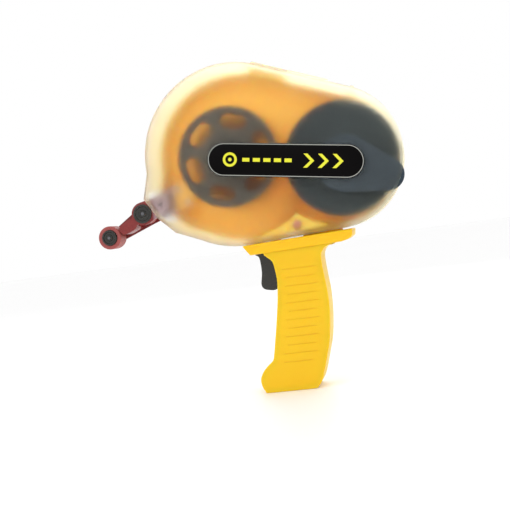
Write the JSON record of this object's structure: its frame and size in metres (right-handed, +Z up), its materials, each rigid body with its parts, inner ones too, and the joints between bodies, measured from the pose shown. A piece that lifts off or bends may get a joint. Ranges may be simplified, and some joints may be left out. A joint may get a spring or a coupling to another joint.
{
  "type": "adhesive transfer tape applicator gun",
  "caption": "Hand-held pistol-grip applicator for transfer tape, with geared reels under a hinged frosted cover, a trigger brake and a nose with free rollers.",
  "frame": {"origin": "on the flat foot of the grip's far half, 1.7 mm behind the plane where the two halves meet, in the middle of the foot's flat", "axes": "+X towards the rear of the casing, -X towards the nose rollers; +Y away from the hinged cover; +Z up along the grip"},
  "size_m": [0.2834, 0.0581, 0.2967],
  "materials": {
    "orange_plastic": "warm yellow-orange moulded plastic, satin",
    "yellow_plastic": "bright yellow moulded plastic, satin",
    "frosted_plastic": "frosted translucent moulded plastic",
    "label_black": "black label with a thin light outline",
    "slate_plastic": "dark slate moulded plastic",
    "amber_plastic": "amber moulded plastic",
    "black_plastic": "black moulded plastic with a soft sheen",
    "red_plastic": "deep red moulded plastic",
    "red_rubber": "dull red rubber sleeve",
    "grey_rubber": "grey-mauve rubber sleeve",
    "steel": "plain bright steel",
    "coppered_steel": "copper-washed steel screw"
  },
  "bodies": {
    "frame": {"main_frame": "orange_plastic", "handle_cover": "yellow_plastic", "hinge_pin": "steel", "supply_axle": "steel", "supply_cap": "slate_plastic", "takeup_axle": "steel", "takeup_cap": "slate_plastic", "idler_axle": "steel", "idler_ring": "steel", "trigger_pin": "steel", "trigger_spring": "steel", "roller_bracket": "red_plastic", "applicator_pin": "steel", "guide_pin": "steel", "guide_washer": "black_plastic", "inner_pin": "steel", "handle_screw_lower": "steel", "handle_screw_upper": "steel", "bracket_screw_upper": "steel", "bracket_screw_lower": "steel", "case_screw": "coppered_steel"},
    "cover": {"case_cover": "frosted_plastic", "label_plate": "label_black", "latch_pin": "steel"},
    "latch": {"cover_latch": "slate_plastic"},
    "supply_reel": {"supply_gear": "amber_plastic", "supply_drum": "amber_plastic", "supply_disc": "slate_plastic"},
    "takeup_reel": {"takeup_gear": "amber_plastic", "takeup_drum": "amber_plastic", "takeup_disc": "slate_plastic"},
    "idler": {"idler_gear": "amber_plastic"},
    "trigger_lever": {"trigger": "black_plastic", "brake_arm": "amber_plastic", "brake_pad": "red_rubber"},
    "applicator_roller": {"applicator_core": "black_plastic", "applicator_sleeve": "red_rubber"},
    "guide_roller": {"guide_core": "black_plastic", "guide_sleeve": "red_rubber"},
    "inner_roller": {"inner_core": "black_plastic", "inner_sleeve": "grey_rubber"}
  },
  "joints": [
    {"name": "cover_hinge", "type": "hinge", "parent": "frame", "child": "cover", "pos_m": [0.00928, 0.0145, 0.28863], "axis": [-0.9279, 0, 0.3729], "range_deg": [0, 110]},
    {"name": "latch_pivot", "type": "hinge", "parent": "cover", "child": "latch", "pos_m": [0.0726, -0.0257, 0.1913], "axis": [0, -1, 0], "range_deg": [0, 10], "stiffness_Nm_per_rad": 0.02, "springref_deg": -5.73},
    {"name": "supply_spin", "type": "hinge", "parent": "frame", "child": "supply_reel", "pos_m": [0.0695, 0, 0.1968], "axis": [0, 1, 0], "continuous": true},
    {"name": "idler_spin", "type": "hinge", "parent": "frame", "child": "idler", "pos_m": [0.00523, 0, 0.20652], "axis": [0, 1, 0], "continuous": true},
    {"name": "takeup_spin", "type": "hinge", "parent": "frame", "child": "takeup_reel", "pos_m": [-0.03061, 0, 0.21194], "axis": [0, 1, 0], "continuous": true},
    {"name": "trigger_pull", "type": "hinge", "parent": "frame", "child": "trigger_lever", "pos_m": [-0.0055, 0, 0.1272], "axis": [0, -1, 0], "range_deg": [0, 10], "stiffness_Nm_per_rad": 0.6, "springref_deg": -5.73, "deforming": ["trigger_spring"]},
    {"name": "applicator_spin", "type": "hinge", "parent": "frame", "child": "applicator_roller", "pos_m": [-0.1499, 0, 0.1547], "axis": [0, 1, 0], "continuous": true},
    {"name": "guide_spin", "type": "hinge", "parent": "frame", "child": "guide_roller", "pos_m": [-0.1151, 0, 0.1723], "axis": [0, 1, 0], "continuous": true},
    {"name": "inner_spin", "type": "hinge", "parent": "frame", "child": "inner_roller", "pos_m": [-0.097, 0, 0.179], "axis": [0, 1, 0], "continuous": true}
  ],
  "couplings": [
    {"joint": "idler_spin", "follows": "supply_spin", "ratio": -2.25},
    {"joint": "takeup_spin", "follows": "supply_spin", "ratio": 2.7692}
  ]
}
